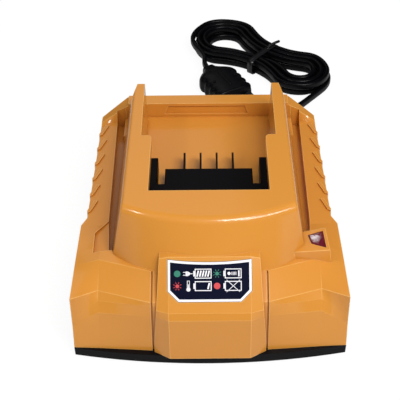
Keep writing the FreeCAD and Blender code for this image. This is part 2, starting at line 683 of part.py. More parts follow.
def chip(x, y, wide, deep, tall, pins):
    body = box(x - wide / 2, x + wide / 2, y - deep / 2, y + deep / 2, BOARD_TOP + 0.3, BOARD_TOP + tall)
    legs = []
    for side in (-1, 1):
        for i in range(pins):
            py = y - deep / 2 + (i + 0.5) * deep / pins
            x0 = x + side * (wide / 2 - 0.3)
            x1 = x + side * (wide / 2 + 0.9)
            legs.append(box(min(x0, x1), max(x0, x1), py - 0.25, py + 0.25, BOARD_TOP, BOARD_TOP + 0.8))
    return fuse([body] + legs)


def rounded_route(points, name=""):
    """Straight runs joined by tangent arcs, each as large as its two runs allow."""
    edges = []
    radii = []
    here = points[0]
    for a, b, c in zip(points, points[1:], points[2:]):
        u = (b - a).normalize()
        w = (c - b).normalize()
        turn = u.getAngle(w)
        reach = 0.45 * min((b - a).Length, (c - b).Length)
        radius = reach / math.tan(turn / 2)
        radii.append(radius)
        inside = (w - u).normalize()
        middle = b + inside * (radius / math.cos(turn / 2) - radius)
        begin, end = b - u * reach, b + w * reach
        edges.append(Part.makeLine(here, begin))
        edges.append(Part.Arc(begin, middle, end).toShape())
        here = end
    edges.append(Part.makeLine(here, points[-1]))
    if name:
        print(name, "radii", " ".join("%.1f" % r for r in radii))
    return edges


def wire_along(points, radius):
    """Six-sided wire with mitred bends, its points in millimetres."""
    points = [V(*p) for p in points]
    heading = (points[1] - points[0]).normalize()
    aside = heading.cross(V(0.1, 0.2, 1)).normalize()
    up = heading.cross(aside)
    ring = [points[0] + aside * (radius * math.cos(a)) + up * (radius * math.sin(a))
            for a in [math.pi * i / 3 for i in range(6)]]
    section = Part.makePolygon(ring + [ring[0]])
    return Part.makePolygon(points).makePipeShell([section], True, False, 1)


def mains_wires():
    wires = []
    for side, foot_x, foot_y in ((1, 40.0, 44.0), (-1, 33.0, 46.5)):
        x = CORD_X + side * 1.3
        wires.append(wire_along([(x, 62.0, CORD_Z), (x, 59.5, CORD_Z), (x, 57.0, CORD_Z + 3.0),
                                 (x - 2.0, foot_y + 6.0, CORD_Z + 6.0), (foot_x, foot_y, CORD_Z + 5.0),
                                 (foot_x, foot_y, BOARD_TOP)], 0.9))
    return Part.makeCompound(wires)


def battery_leads():
    wires = []
    for number, x in enumerate(blade_places()):
        foot_x = x - 11.0 if number < 2 else x * 1.25
        foot_y = -3.0 if abs(x) < BLADE_PITCH else 2.0
        wires.append(wire_along([(x, 7.0, TAIL_FOOT), (x, 7.0, TAIL_FOOT - 3.0),
                                 (foot_x, foot_y, BOARD_TOP + 9.0), (foot_x, foot_y, BOARD_TOP)], 0.8))
    return Part.makeCompound(wires)


# Cord

def hank_place(u, v, z):
    ca, sa = math.cos(HANK_TURN), math.sin(HANK_TURN)
    return V(HANK_X + u * ca - v * sa, HANK_Y + u * sa + v * ca, z)


def hank_heading(angle):
    return V(math.cos(angle + HANK_TURN), math.sin(angle + HANK_TURN), 0)


def lobe_centre(radius):
    reach = radius + WAIST_BEND
    rise = WAIST_GAP + WAIST_BEND
    return math.sqrt(reach ** 2 - rise ** 2)


def hank_station(number, r):
    """Place and heading of one of eight stations round a turn that lies r steps out."""
    lobes = [(1, LOBE_RIGHT), (-1, LOBE_LEFT)]
    side, radius = lobes[0] if number % STATIONS in (0, 1, 7) else lobes[1]
    centre = lobe_centre(radius)
    out = radius + r * HANK_STEP
    lean = math.atan2(WAIST_GAP + WAIST_BEND, centre)
    angle = {0: 0.0, 1: math.pi - lean, 3: lean, 4: math.pi, 5: -lean, 7: lean - math.pi}
    spot = number % STATIONS
    if spot == 2:
        return 0.0, WAIST_GAP + r * HANK_STEP, math.pi
    if spot == 6:
        return 0.0, -WAIST_GAP - r * HANK_STEP, 0.0
    a = angle[spot]
    u, v = side * centre + out * math.cos(a), out * math.sin(a)
    return u, v, a + math.pi / 2


def hank_round(n):
    """How many steps out station n lies: in at a steady rate, a wider turn after the climb, out again."""
    inmost = FIRST_ROUND - CLIMB_AT / STATIONS
    if n <= CLIMB_AT:
        return FIRST_ROUND - n / STATIONS
    if n <= WIDEN_UNTIL:
        return inmost + (n - CLIMB_AT - 1) / (WIDEN_UNTIL - CLIMB_AT - 1)
    return inmost + 1 + (n - WIDEN_UNTIL) / STATIONS


def hank_points():
    """Places and headings along the hank: in on the low layer, out again on the high one."""
    route = []
    for n in range(LAST_STATION + 1):
        u, v, angle = hank_station(n, hank_round(n))
        z = LAYER_LOW if n < CLIMB_AT else LAYER_HIGH
        heading = hank_heading(angle)
        if n == CLIMB_AT:
            z = (LAYER_LOW + LAYER_HIGH) / 2
            heading = (heading + V(0, 0, math.tan(math.radians(13.0)))).normalize()
        route.append((hank_place(u, v, z), heading))
    out = LOBE_LEFT + (hank_round(LAST_STATION) + 0.1) * HANK_STEP
    u = -lobe_centre(LOBE_LEFT) + out * math.cos(LEAVE_ANGLE)
    last = hank_place(u, out * math.sin(LEAVE_ANGLE), LAYER_HIGH)
    route.append((last, hank_heading(LEAVE_ANGLE + math.pi / 2)))
    return route


def biarc(a, ta, b, tb):
    """Two arcs, tangent to each other, from a heading ta to b heading tb."""
    d = b - a
    t = ta + tb
    k = 2 * (1 - ta.dot(tb))
    dt = d.dot(t)
    if k < 1e-9:
        reach = d.dot(d) / (2 * dt)
    else:
        reach = (-dt + math.sqrt(dt ** 2 + k * d.dot(d))) / k
    p, q = a + ta * reach, b - tb * reach
    joint = (p + q) * 0.5
    return [arc_from(a, ta, joint), arc_from(joint, (q - p).normalize(), b)]


def arc_from(a, heading, b):
    """Arc that leaves a along a heading and ends at b, or a line where they agree."""
    d = b - a
    off = d - heading * d.dot(heading)
    if off.Length < 1e-5:
        return Part.makeLine(a, b)
    side = V(off).normalize()
    turn = math.atan2(d.dot(side), d.dot(heading))
    radius = d.Length / (2 * math.sin(turn))
    middle = a + heading * (radius * math.sin(turn)) + side * (radius * (1 - math.cos(turn)))
    return Part.Arc(a, middle, b).toShape()


def hank_edges():
    route = hank_points()
    (a, ta), (b, tb) = route[0], route[-1]
    edges = [Part.makeLine(a - ta * STRAIGHT_END, a)]
    for (p, tp), (q, tq) in zip(route, route[1:]):
        edges += biarc(p, tp, q, tq)
    edges.append(Part.makeLine(b, b + tb * STRAIGHT_END))
    return edges


def flat_section(at, heading):
    """Six-sided section of the flat lead, wide side upright."""
    heading = V(heading).normalize()
    across = V(0, 0, 1).cross(heading).normalize()
    up = heading.cross(across).normalize()
    half, thin, crown = CORD_WIDE / 2, CORD_THIN / 2, CORD_THIN * 0.42
    corners = [(thin, half - crown), (0, half), (-thin, half - crown), (-thin, crown - half), (0, -half),
               (thin, crown - half)]
    points = [at + across * x + up * z for x, z in corners]
    return Part.makePolygon(points + [points[0]])


def flat_tube(edges, name):
    first = edges[0]
    start = first.valueAt(first.FirstParameter)
    heading = first.tangentAt(first.FirstParameter)
    wire = Part.Wire(edges)
    tube = wire.makePipeShell([flat_section(start, heading)], True, False)
    area = Part.Face(flat_section(start, heading)).Area
    print("%s length %.1f, volume %.1f, section times length %.1f"
          % (name, wire.Length, tube.Volume, area * wire.Length))
    return tube


def least_self_gap(edges):
    """Least sideways gap between turns of one layer, measured on points along the tube."""
    points = []
    run = 0.0
    for edge in edges:
        count = max(2, int(edge.Length / 2.0))
        for i in range(count):
            at = edge.valueAt(edge.FirstParameter + (edge.LastParameter - edge.FirstParameter) * i / count)
            points.append((run + edge.Length * i / count, at))
        run += edge.Length
    least = 1e9
    for i, (s, a) in enumerate(points):
        for t, b in points[i + 1:]:
            if t - s < 25.0:
                continue
            rise = abs(a.z - b.z)
            side = math.hypot(a.x - b.x, a.y - b.y)
            gap = side - CORD_THIN if rise < CORD_WIDE else rise - CORD_WIDE
            if rise >= CORD_WIDE and side > CORD_THIN:
                gap = math.hypot(rise - CORD_WIDE, side - CORD_THIN)
            least = min(least, gap)
    return least


def lead_route():
    start, heading = hank_points()[0]
    end = start - heading * STRAIGHT_END
    return [V(CORD_X, RELIEF_END_Y, CORD_Z), V(CORD_X, 104.5, CORD_Z), V(48.5, 117.5, 5.0),
            V(57.0, 126.5, 3.2), end - heading * 10.5, end]


def tail_route():
    end, heading = hank_points()[-1]
    start = end + heading * STRAIGHT_END
    return [start, start + heading * 6.0, plug_place(-6.5, 0, PLUG_Z), plug_place(0, 0, PLUG_Z)]


# Plug

def plug_place(s, side, z):
    ca, sa = math.cos(PLUG_HEADING), math.sin(PLUG_HEADING)
    return V(PLUG_X + s * ca - side * sa, PLUG_Y + s * sa + side * ca, z)


def plug_body():
    half = [(0.0, 4.4), (5.0, 5.2), (9.0, 9.0), (13.0, PLUG_HALF - 0.6)]
    for i in range(3):
        half += [(16.5 + i * 6.0, PLUG_HALF - 1.8), (19.5 + i * 6.0, PLUG_HALF - 0.3)]
    half += [(PLUG_LENGTH, PLUG_HALF - 1.2)]
    outline = half + [(s, -w) for s, w in reversed(half)]
    wire = closed_wire([tuple(plug_place(s, w, PLUG_Z - 7.0)) for s, w in outline])
    blank = Part.Face(wire).extrude(V(0, 0, 14.0))
    side = [(-1, 3.6), (8, 4.6), (16, 7.0), (PLUG_LENGTH + 1, 6.8)]
    profile = side + [(s, -h) for s, h in reversed(side)]
    wire = closed_wire([tuple(plug_place(s, -PLUG_HALF - 2, PLUG_Z + h)) for s, h in profile])
    across = plug_place(0, 1, 0) - plug_place(0, 0, 0)
    body = blank.common(Part.Face(wire).extrude(across * (2 * PLUG_HALF + 4)))
    ahead = plug_place(1, 0, 0) - plug_place(0, 0, 0)
    sockets = []
    for w in (-PIN_APART / 2, PIN_APART / 2):
        sockets.append(Part.makeCylinder(PIN_RADIUS, 9.0, plug_place(PLUG_LENGTH - 8, w, PLUG_Z), ahead))
    return body.cut(Part.makeCompound(sockets))


def plug_pins():
    ahead = plug_place(1, 0, 0) - plug_place(0, 0, 0)
    pins, sleeves = [], []
    for s in (-1, 1):
        w = s * PIN_APART / 2
        inner = Part.makeCylinder(PIN_RADIUS, 8.0, plug_place(PLUG_LENGTH - 8, w, PLUG_Z), ahead)
        neck = Part.makeCylinder(PIN_RADIUS - 0.5, SLEEVE_LENGTH, plug_place(PLUG_LENGTH, w, PLUG_Z), ahead)
        tip = Part.makeCylinder(PIN_RADIUS, PIN_LENGTH - SLEEVE_LENGTH,
                                plug_place(PLUG_LENGTH + SLEEVE_LENGTH, w, PLUG_Z), ahead)
        end = plug_place(PLUG_LENGTH + PIN_LENGTH, w, PLUG_Z)
        round_end = [e for e in tip.Edges if (e.CenterOfMass - end).Length < 0.1]
        pins.append(fuse([inner, neck, tip.makeChamfer(0.9, round_end)]))
        foot = plug_place(PLUG_LENGTH, w, PLUG_Z)
        sleeve = Part.makeCylinder(PIN_RADIUS - 0.05, SLEEVE_LENGTH, foot, ahead)
        sleeves.append(sleeve.cut(neck))
    return Part.makeCompound(pins), Part.makeCompound(sleeves)


def cord_tie():
    """Flat twist tie round the waist of the hank, its ends twisted on top."""
    half = WAIST_GAP + OUTER_WAIST * HANK_STEP + CORD_THIN / 2 + 0.9
    low, high, thick, wide = 0.05, LAYER_HIGH + CORD_WIDE / 2 + 0.25, 0.5, 4.0

    def ring(grow):
        x, z0, z1 = half + grow, low + thick - grow, high + grow
        corners = [(-x, z0), (x, z0), (x, z1 - 1.6), (x - 1.6, z1), (1.6 - x, z1), (-x, z1 - 1.6)]
        return closed_wire([tuple(hank_place(-wide / 2, v, z)) for v, z in corners])

    along = hank_place(1, 0, 0) - hank_place(0, 0, 0)
    band = Part.Face(ring(thick)).extrude(along * wide).cut(Part.Face(ring(0)).extrude(along * wide))
    knot = [tuple(hank_place(0, 6.0, high + 0.3)), tuple(hank_place(0.8, 9.0, high + 2.2)),
            tuple(hank_place(3.0, 13.0, high + 3.2)), tuple(hank_place(6.5, 16.0, high + 5.0))]
    return fuse([band, wire_along(knot, 0.7)])


def cord_strain_relief():
    """Ribbed tapered sleeve, with a flange that the case walls hold."""
    y0 = BACK - 11.0
    wide = RELIEF_WIDE
    rings = []
    for y, across, tall in [(y0, wide, wide), (BACK + 1.5, wide, wide), (RELIEF_END_Y, 5.0, 6.6)]:
        half, top = across / 2, tall / 2
        corner = 1.3
        pts = [(-half + corner, -top), (half - corner, -top), (half, -top + corner), (half, top - corner),
               (half - corner, top), (-half + corner, top), (-half, top - corner), (-half, -top + corner)]
        rings.append(closed_wire([(CORD_X + x, y, CORD_Z + z) for x, z in pts]))
    body = loft(rings)
    flange = cylinder(CORD_X, y0, CORD_Z, 5.2, 2.4, V(0, 1, 0))
    grooves = []
    for i in range(4):
        y = BACK + 3.0 + i * 3.0
        slot = box(CORD_X - 6, CORD_X + 6, y, y + 1.2, CORD_Z - 6, CORD_Z + 6)
        grooves.append(slot.cut(box(CORD_X - 2.3, CORD_X + 2.3, y, y + 1.2, CORD_Z - 3.1, CORD_Z + 3.1)))
    half, top = CORD_THIN / 2 + 0.05, CORD_WIDE / 2 + 0.05
    bore = box(CORD_X - half, CORD_X + half, y0 - 1, RELIEF_END_Y - 2.0, CORD_Z - top, CORD_Z + top)
    return fuse([body, flange]).cut(Part.makeCompound(grooves + [bore]))


def cord_inside():
    """Jacketed end of the lead, inside the sleeve and the clamp."""
    half, top = CORD_THIN / 2, CORD_WIDE / 2
    return box(CORD_X - half, CORD_X + half, 62.0, RELIEF_END_Y - 2.0, CORD_Z - top, CORD_Z + top)


def cord_clamp():
    """Bridge that pinches the jacket on the base's saddle."""
    low = CORD_Z - 3.1
    bridge = box(CORD_X - 8.6, CORD_X + 8.6, 64.4, 68.4, low, CORD_Z + 4.6)
    tunnel = box(CORD_X - 1.5, CORD_X + 1.5, 60, 72, low - 1, CORD_Z + CORD_WIDE / 2)
    holes = [cylinder(CORD_X + s * CLAMP_SCREW_X, CLAMP_Y, 0, 1.3, 40) for s in (-1, 1)]
    ears = []
    for x in (CORD_X - 6.4, CORD_X + 6.4):
        ears.append(box(x - 2.4, x + 2.4, 60, 72, CORD_Z - 0.6, CORD_Z + 6))
    return bridge.cut(Part.makeCompound([tunnel] + holes + ears))


def clamp_screws():
    places = [CORD_X - CLAMP_SCREW_X, CORD_X + CLAMP_SCREW_X]
    return Part.makeCompound([screw(x, CLAMP_Y, CORD_Z - 0.6, 1.9, 1.0, 7.0, -1) for x in places])


save("top_cover", top_cover())
save("base_tray", base_tray())
save("status_label", label_plate(0, LABEL_DEPTH))
save("led_lens", led_lens())
save("terminal_block", terminal_block())
for number, place in enumerate(blade_places(), 1):
    save("contact_blade_%d" % number, contact_blade(place))
save("rubber_feet", rubber_feet())
save("case_screws", case_screws())
save("circuit_board", circuit_board())
save("board_screws", board_screws())
core, winding = transformer()
save("transformer_core", core)
save("transformer_winding", winding)
save("bulk_capacitor", lying_can(12.0, 14.0, 9.0, 32.0))
save("output_capacitors", Part.makeCompound([can(22.0, -34.0, 5.0, 17.0), can(34.0, -34.0, 5.0, 17.0)]))
ring, coil = choke()
save("choke_core", ring)
save("choke_winding", coil)
save("heat_sink", heat_sink())
save("switching_transistor", power_case(-10.0))
save("output_diode", power_case(-28.0))
save("control_chip", chip(12.0, -52.0, 6.0, 10.0, 3.0, 7))
save("optocoupler", chip(14.0, -5.0, 6.5, 4.6, 3.6, 2))
save("bridge_rectifier", chip(32.0, 12.0, 5.0, 14.0, 9.0, 4))
save("mains_filter_capacitor", box(16.0, 26.0, 46.0, 56.0, BOARD_TOP, BOARD_TOP + 12.0))
save("fuse", cylinder(44.0, 22.0, BOARD_TOP + 3.2, 2.6, 18.0, V(0, 1, 0)))
save("status_led", cylinder(PIPE_X, PIPE_Y, BOARD_TOP, PIPE_RADIUS, 3.2))
save("mains_wires", mains_wires())
save("battery_leads", battery_leads())
save("cord_strain_relief", cord_strain_relief())
save("cord_inside", cord_inside())
save("cord_clamp", cord_clamp())
save("clamp_screws", clamp_screws())
hank = hank_edges()
print("least gap between turns of the hank %.2f" % least_self_gap(hank))
save("cord_hank", flat_tube(hank, "hank"))
save("cord_lead", flat_tube(rounded_route(lead_route(), "lead"), "lead"))
save("cord_tail", flat_tube(rounded_route(tail_route(), "tail"), "tail"))
save("cord_tie", cord_tie())
save("plug_body", plug_body())
pins, sleeves = plug_pins()
save("plug_pins", pins)
save("plug_pin_sleeves", sleeves)
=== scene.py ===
import math

import bmesh
import bpy
from mathutils import Matrix, Vector


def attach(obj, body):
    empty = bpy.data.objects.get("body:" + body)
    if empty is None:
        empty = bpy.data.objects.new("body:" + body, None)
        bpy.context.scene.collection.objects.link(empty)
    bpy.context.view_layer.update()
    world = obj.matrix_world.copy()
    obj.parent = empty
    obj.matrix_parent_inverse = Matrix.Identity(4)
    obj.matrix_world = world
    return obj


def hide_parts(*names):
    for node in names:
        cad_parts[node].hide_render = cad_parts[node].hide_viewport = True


# Battery charger for power tools: its finishes, mains lead, plug, tie and label print.
# Places and sizes are in millimetres and are made metres where a mesh or curve is built.
MM = 0.001
UP = Vector((0, 0, 1))

# Camera: in front of the charger, looking down on it
CAMERA_PLACE = Vector((0.0, -404.0, 379.7))
CAMERA_DOWN = math.radians(40.5)
CAMERA_ROLL = math.radians(-0.5)
CAMERA_LENS = 92.7
CAMERA_SHIFT = -0.0225

# Cord: flat lead, wide side upright; it runs straight into the hank and out of it
CORD_WIDE = 4.9
CORD_THIN = 3.0
CORD_SIDES = 16
CORD_STEPS = 8
CORD_EXIT = Vector((46.0, 97.0, 12.0))
LEAD_BENDS = [(46.0, 104.5, 12.0), (48.5, 117.5, 5.0), (57.0, 126.5, 3.2)]
LEAD_RUN = 15.7

# Hank: a long loop drawn in at its waist by a tie, in two layers of turns, behind the charger
HANK_PLACE = Vector((36.6, 178.0))
HANK_TURN = math.radians(-40.0)
HANK_STEP = 3.9
LOBE_RIGHT = 10.0
LOBE_LEFT = 11.5
WAIST_GAP = 2.9
OUTER_WAIST = 2.375
WAIST_BEND = 44.0 + OUTER_WAIST * HANK_STEP
LAYER_LOW = 3.1
LAYER_GAP = 0.55
LAYER_HIGH = LAYER_LOW + CORD_WIDE + LAYER_GAP
STATIONS = 8
FIRST_ROUND = 2.5
CLIMB_AT = 22
CLIMB_SLOPE = math.tan(math.radians(13.0))
WIDEN_UNTIL = 29
LAST_STATION = 44
LEAVE_ANGLE = math.radians(250.0)
LEAVE_STEP = 0.1
TAIL_RUN = 11.2

# Plug: lengths run along it from the cord, half sizes are width and height
PLUG_PLACE = Vector((0.4, 163.0, 7.2))
PLUG_HEADING = math.radians(-62.0)
PLUG_LENGTH = 36.0
PLUG_ENTRY = (-6.5, 2.0)
PLUG_SHOULDER = 13.0
PLUG_NECK = (4.2, 3.7)
PLUG_SWELL = (8.9, 2.9)
PLUG_GRIP = (12.6, 6.75)
PLUG_WAVE = 6.0
PLUG_WAVE_HIGH = 0.75
PLUG_WAVE_START = PLUG_SHOULDER + 1.0
PLUG_FACE = 0.8
PLUG_FACE_IN = (0.7, 0.6)
PLUG_SQUARENESS = 3.6
PLUG_STATIONS = 48
PLUG_SIDES = 48

# Bar and two marks on top of the grip: place along and aside, length, width
PLUG_MARKS = [(22.0, 0.0, 17.0, 1.9), (22.0, -7.6, 1.8, 1.8), (22.0, 7.6, 1.8, 1.8)]
MARK_MIDDLE = 6.7
MARK_TALL = 0.9
MARK_EDGE = 0.38

# Tie: a band round the waist of the hank, its ends twisted together along three knees
TIE_HALF = WAIST_GAP + OUTER_WAIST * HANK_STEP + CORD_THIN / 2 + 0.9
TIE_FOOT = 0.3
TIE_TOP = LAYER_HIGH + CORD_WIDE / 2 + 0.5
TIE_WIDE = 4.0
TIE_THICK = 0.45
TIE_SQUARENESS = 6.0
TIE_SIDES = 72
TWIST_KNEES = [(0, 5.0, TIE_TOP + 0.5), (0.4, 9.0, TIE_TOP + 1.9), (4.0, 12.8, TIE_TOP + 3.4)]
TWIST_WIRE = 0.5
TWIST_TURNS = 5
TWIST_STEPS = 60

# Label: a plate on the slope of the nose, measured from the slope's lower edge
SLOPE_LOW = Vector((0.0, -79.0, 33.8))
SLOPE_HIGH = Vector((0.0, -60.8, 52.2))
LABEL_ZERO = 3.8
LABEL_LIFT = 0.3
LABEL_HALF = 19.3
LABEL_FOOT = 14.4
LABEL_LOW = 9.1
LABEL_HIGH = 28.5
LABEL_BOW = 1.3
PRINT_THICK = 0.05

# Signs on the label: two rows of lamps and batteries
ROW_HIGH = 22.0
ROW_LOW = 16.3
LAMP_LEFT = -14.9
LAMP_RIGHT = 3.4
LAMP_DOT = 1.5
SUN_RAYS = 8
RAYS_OUT = 1.6
BATTERY_LEFT = -3.0
BATTERY_RIGHT = 10.8
BATTERY_WIDE = 7.7
BATTERY_TALL = 4.5
LINE = 0.4
BORDER = 1.1
BORDER_STEPS = 6

# Finishes: how fine the rounding of edges is sampled, and the painted highlights along the mouldings' outer
# edges and painted shade in their inner corners
COAT_ROUGHNESS = 0.12
GRAIN_DEPTH = 0.05
MOTTLE_SCALE = 60.0
EDGE_SAMPLES = 6
LINE_SAMPLES = 8
HIGHLIGHT_LINE = 0.55
HIGHLIGHT_TURN = (0.9995, 0.982)
HIGHLIGHT_ROOM = (0.75, 0.95)
HIGHLIGHT_SHARE = 0.75
SHADE_REACH = 2.5
SHADE_ROOM = (0.9, 0.5)
SHADE_SHARE = 0.5

# Studio, in metres and watts
LAMPS = [
    ("key", (0.17, -0.42, 0.80), (0, 0, 0.03), (0.22, 0.22), 3.1),
    ("right_strip", (0.42, -0.48, 0.72), (0, 0, 0.06), (0.46, 0.12), 3.5),
    ("left_spark", (-0.52, -0.36, 0.75), (0, 0, 0.06), (0.08, 0.08), 1.0),
    ("glint", (0.132, 0.545, 0.585), (0.052, -0.042, 0.045), (0.010, 0.003), 0.003),
    ("back", (-0.2, 0.6, 0.6), (0, 0.05, 0.03), (0.5, 0.5), 0.4),
]
FLOOR_HALF = 3.0
FLOOR_GREY = 0.6
FLOOR_ROUGHNESS = 0.9
FLOOR_GLOW = 1.09
GLOW_SHARES = [("Is Camera Ray", 0.85), ("Is Transmission Ray", 0.85), ("Is Glossy Ray", 0.1)]
SKY_LIGHT = 0.40
SKY_SEEN = 1.0
SKY_LOST_IN_MIRRORS = -0.37


def linear(red, green, blue):
    """A screen colour of 0 to 255 as the linear colour of a shader socket."""
    def channel(value):
        value /= 255
        return value / 12.92 if value <= 0.04045 else ((value + 0.055) / 1.055) ** 2.4
    return channel(red), channel(green), channel(blue), 1.0


# Camera

def add_camera():
    data = bpy.data.cameras.new("camera")
    data.lens = CAMERA_LENS
    data.shift_x = CAMERA_SHIFT
    data.clip_start = 0.01
    camera = bpy.data.objects.new("camera", data)
    bpy.context.collection.objects.link(camera)
    tilt = Matrix.Rotation(math.pi / 2 - CAMERA_DOWN, 4, "X")
    roll = Matrix.Rotation(CAMERA_ROLL, 4, "Z")
    camera.matrix_world = Matrix.Translation(CAMERA_PLACE * MM) @ tilt @ roll
    bpy.context.scene.camera = camera


# Cord

def hank_place(u, v, z):
    """A place in the hank, u along its length and v across its waist."""
    cos, sin = math.cos(HANK_TURN), math.sin(HANK_TURN)
    return Vector((HANK_PLACE.x + u * cos - v * sin, HANK_PLACE.y + u * sin + v * cos, z))


def hank_heading(angle, slope=0.0):
    return Vector((math.cos(angle + HANK_TURN), math.sin(angle + HANK_TURN), slope)).normalized()


def lobe_centre(radius):
    """How far from the waist a lobe's middle lies, for arcs that bend out of the waist."""
    return math.sqrt((radius + WAIST_BEND) ** 2 - (WAIST_GAP + WAIST_BEND) ** 2)


def hank_station(number, out):
    """Place and heading of one of the eight stations round a turn that lies some steps out."""
    spot = number % STATIONS
    if spot == 2:
        return 0.0, WAIST_GAP + out * HANK_STEP, math.pi
    if spot == 6:
        return 0.0, -WAIST_GAP - out * HANK_STEP, 0.0
    side, radius = (1, LOBE_RIGHT) if spot in (0, 1, 7) else (-1, LOBE_LEFT)
    centre = lobe_centre(radius)
    lean = math.atan2(WAIST_GAP + WAIST_BEND, centre)
    angle = {0: 0.0, 1: math.pi - lean, 3: lean, 4: math.pi, 5: -lean, 7: lean - math.pi}[spot]
    reach = radius + out * HANK_STEP
    return side * centre + reach * math.cos(angle), reach * math.sin(angle), angle + math.pi / 2


def steps_out(number):
    """Turns go in at a steady rate, widen after the climb to the upper layer, then go out again."""
    inmost = FIRST_ROUND - CLIMB_AT / STATIONS
    if number <= CLIMB_AT:
        return FIRST_ROUND - number / STATIONS
    if number <= WIDEN_UNTIL:
        return inmost + (number - CLIMB_AT - 1) / (WIDEN_UNTIL - CLIMB_AT - 1)
    return inmost + 1 + (number - WIDEN_UNTIL) / STATIONS


def hank_stations():
    """Places and headings along the hank: in on the low layer, out again on the high one."""
    route = []
    for number in range(LAST_STATION + 1):
        u, v, angle = hank_station(number, steps_out(number))
        z, slope = LAYER_LOW if number < CLIMB_AT else LAYER_HIGH, 0.0
        if number == CLIMB_AT:
            z, slope = (LAYER_LOW + LAYER_HIGH) / 2, CLIMB_SLOPE
        route.append((hank_place(u, v, z), hank_heading(angle, slope)))
    reach = LOBE_LEFT + (steps_out(LAST_STATION) + LEAVE_STEP) * HANK_STEP
    u = -lobe_centre(LOBE_LEFT) + reach * math.cos(LEAVE_ANGLE)
    last = hank_place(u, reach * math.sin(LEAVE_ANGLE), LAYER_HIGH)
    return route + [(last, hank_heading(LEAVE_ANGLE + math.pi / 2))]


def route_corners(a, heading_a, b, heading_b):
    """The route's two corners between two stations, one on each station's heading."""
    span = b - a
    both = heading_a + heading_b
    curl = 2 * (1 - heading_a.dot(heading_b))
    along = span.dot(both)
    if curl < 1e-9:
        reach = span.dot(span) / (2 * along)
    else:
        reach = (-along + math.sqrt(along ** 2 + curl * span.dot(span))) / curl
    return [a + heading_a * reach, b - heading_b * reach]


def plug_place(s, side=0.0, rise=0.0):
    """A place s along the plug from the cord, aside of its middle and above it."""
    cos, sin = math.cos(PLUG_HEADING), math.sin(PLUG_HEADING)
    return PLUG_PLACE + Vector((s * cos - side * sin, s * sin + side * cos, rise))


def cord_points():
    """The lead from the case, the hank and the tail into the plug, in one line."""
    stations = hank_stations()
    (start, start_heading), (end, end_heading) = stations[0], stations[-1]
    line = [CORD_EXIT] + [Vector(bend) for bend in LEAD_BENDS] + [start - start_heading * LEAD_RUN]
    for (a, heading_a), (b, heading_b) in zip(stations, stations[1:]):
        line += route_corners(a, heading_a, b, heading_b)
    return line + [end + end_heading * TAIL_RUN] + [plug_place(s) for s in PLUG_ENTRY]


def cord_section():
    """Section of the lead: two half rounds and straight sides, the wide way up."""
    data = bpy.data.curves.new("cord_section", "CURVE")
    spline = data.splines.new("POLY")
    spline.points.add(CORD_SIDES - 1)
    for i, point in enumerate(spline.points):
        angle = 2 * math.pi * (i + 0.5) / CORD_SIDES
        rise = math.copysign((CORD_WIDE - CORD_THIN) / 2, math.sin(angle))
        across, up = CORD_THIN / 2 * math.cos(angle), CORD_THIN / 2 * math.sin(angle) + rise
        point.co = (across * MM, up * MM, 0.0, 1.0)
    spline.use_cyclic_u = True
    section = bpy.data.objects.new("cord_section", data)
    bpy.context.collection.objects.link(section)
    section.hide_render = True
    section.hide_viewport = True
    return section


def smooth_line(name, points):
    """A smooth line whose control points are the corners of a route."""
    data = bpy.data.curves.new(name, "CURVE")
    data.dimensions = "3D"
    data.twist_mode = "Z_UP"
    data.use_fill_caps = True
    data.resolution_u = CORD_STEPS
    spline = data.splines.new("NURBS")
    spline.points.add(len(points) - 1)
    for point, place in zip(spline.points, points):
        point.co = (*(place * MM), 1.0)
    spline.order_u = 3
    spline.use_endpoint_u = True
    line = bpy.data.objects.new(name, data)
    bpy.context.collection.objects.link(line)
    return line


def make_cord():
    cord = smooth_line("mains_cord", cord_points())
    cord.data.bevel_mode = "OBJECT"
    cord.data.bevel_object = cord_section()
    return cord


# Meshes

def piece_from(name, bm, smooth=True):
    mesh = bpy.data.meshes.new(name)
    bm.to_mesh(mesh)
    bm.free()
    for face in mesh.polygons:
        face.use_smooth = smooth
    piece = bpy.data.objects.new(name, mesh)
    bpy.context.collection.objects.link(piece)
    return piece


def laid_on(x_axis, y_axis, z_axis, place):
    """Matrix that lays a shape drawn in millimetres along three axes at a place."""
    columns = [axis * MM for axis in (x_axis, y_axis, z_axis, place)]
    return Matrix([[column[row] for column in columns] for row in range(3)] + [[0, 0, 0, 1]])


def squarish_ring(bm, half_wide, half_high, squareness, sides, lay):
    """A ring between an oval and a rectangle, drawn flat and then laid."""
    ring = bmesh.ops.create_circle(bm, cap_ends=False, radius=1.0, segments=sides)["verts"]
    for v in ring:
        stretch = (abs(v.co.x) ** squareness + abs(v.co.y) ** squareness) ** (-1 / squareness)
        v.co = lay @ Vector((v.co.x * stretch * half_wide, v.co.y * stretch * half_high, 0.0))
    return list({edge for v in ring for edge in v.link_edges})


def skin_over(bm, rings):
    """Joins rings into a closed skin."""
    for near, far in zip(rings, rings[1:]):
        bmesh.ops.bridge_loops(bm, edges=near + far)
    for end in (rings[0], rings[-1]):
        bmesh.ops.contextual_create(bm, geom=end)
    bmesh.ops.recalc_face_normals(bm, faces=bm.faces)


# Plug

def plug_half_sizes(s):
    """Half width and half height of the grip, s along it: neck, shoulder, waved sides, rounded face."""
    if s < PLUG_SHOULDER:
        rise = (1 - math.cos(math.pi * s / PLUG_SHOULDER)) / 2
        return [neck + swell * rise for neck, swell in zip(PLUG_NECK, PLUG_SWELL)]
    wave = PLUG_WAVE_HIGH * math.cos(2 * math.pi * (s - PLUG_WAVE_START) / PLUG_WAVE)
    near_face = 1 - min(1.0, (PLUG_LENGTH - s) / PLUG_FACE)
    half_wide, half_high = [grip - inward * near_face for grip, inward in zip(PLUG_GRIP, PLUG_FACE_IN)]
    return half_wide + wave, half_high


